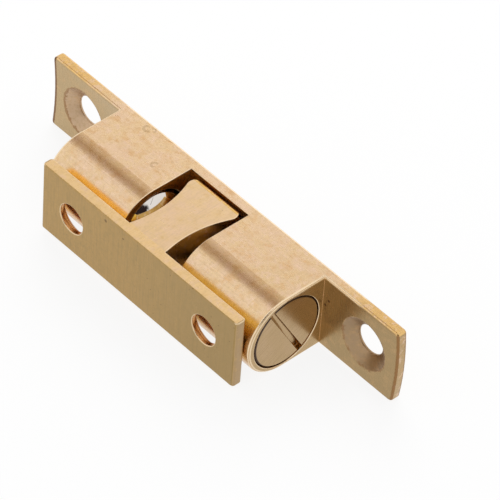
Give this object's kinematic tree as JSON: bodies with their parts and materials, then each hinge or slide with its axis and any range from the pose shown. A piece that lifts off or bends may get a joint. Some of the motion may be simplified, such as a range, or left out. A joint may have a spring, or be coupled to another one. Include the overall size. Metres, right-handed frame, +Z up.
{
  "type": "ball catch",
  "caption": "Adjustable double ball catch in brass: a waisted strike tongue snaps between two sprung steel balls, and slotted screws in the barrel's ends set the hold.",
  "frame": {"origin": "on the body's mounting face, midway between its two fixing holes, at mid-height", "axes": "+X along the catch, +Y out of the body's mounting face, +Z up across the body's height; the strike leaves towards -Y"},
  "size_m": [0.0663, 0.0158, 0.012],
  "materials": {
    "body_brass": "bare drawn brass with fine grain along the bar, satin",
    "strike_brass": "bare brass, brushed across the plate, satin",
    "screw_brass": "bare turned brass, brushed across the face",
    "ball_steel": "polished bearing ball",
    "spring_steel": "drawn spring wire"
  },
  "bodies": {
    "body": {"body": "body_brass"},
    "strike": {"strike": "strike_brass"},
    "ball_left": {"ball_left": "ball_steel"},
    "ball_right": {"ball_right": "ball_steel"},
    "spring_left": {"spring_left": "spring_steel"},
    "spring_right": {"spring_right": "spring_steel"},
    "adjusting_screw_left": {"adjusting_screw_left": "screw_brass"},
    "adjusting_screw_right": {"adjusting_screw_right": "screw_brass"}
  },
  "joints": [
    {"name": "strike_release", "type": "slide", "parent": "body", "child": "strike", "axis": [0, -1, 0], "range_m": [0, 0.0043]},
    {"name": "ball_left_travel", "type": "slide", "parent": "body", "child": "ball_left", "axis": [-1, 0, 0], "range_m": [0, 0.0016], "stiffness_N_per_m": 2000, "springref_m": -0.002, "deforming": ["spring_left"]},
    {"name": "ball_right_travel", "type": "slide", "parent": "body", "child": "ball_right", "axis": [1, 0, 0], "range_m": [0, 0.0016], "stiffness_N_per_m": 2000, "springref_m": -0.002, "deforming": ["spring_right"]},
    {"name": "adjusting_screw_left_advance", "type": "slide", "parent": "body", "child": "spring_left", "axis": [1, 0, 0], "range_m": [-0.002, 0.00075], "deforming": ["spring_left"]},
    {"name": "adjusting_screw_right_advance", "type": "slide", "parent": "body", "child": "spring_right", "axis": [-1, 0, 0], "range_m": [-0.002, 0.00075], "deforming": ["spring_right"]},
    {"name": "adjusting_screw_left_turn", "type": "hinge", "parent": "spring_left", "child": "adjusting_screw_left", "pos_m": [-0.01815, -0.00765, 0], "axis": [1, 0, 0], "range_deg": [-725, 275]},
    {"name": "adjusting_screw_right_turn", "type": "hinge", "parent": "spring_right", "child": "adjusting_screw_right", "pos_m": [0.01735, -0.00765, 0], "axis": [-1, 0, 0], "range_deg": [-725, 275]}
  ],
  "couplings": [
    {"joint": "ball_left_travel", "follows": "strike_release", "ratio": 0.36},
    {"joint": "ball_right_travel", "follows": "strike_release", "ratio": 0.36},
    {"joint": "adjusting_screw_left_turn", "follows": "adjusting_screw_left_advance", "rad_per_m": 6283.2},
    {"joint": "adjusting_screw_right_turn", "follows": "adjusting_screw_right_advance", "rad_per_m": 6283.2}
  ]
}
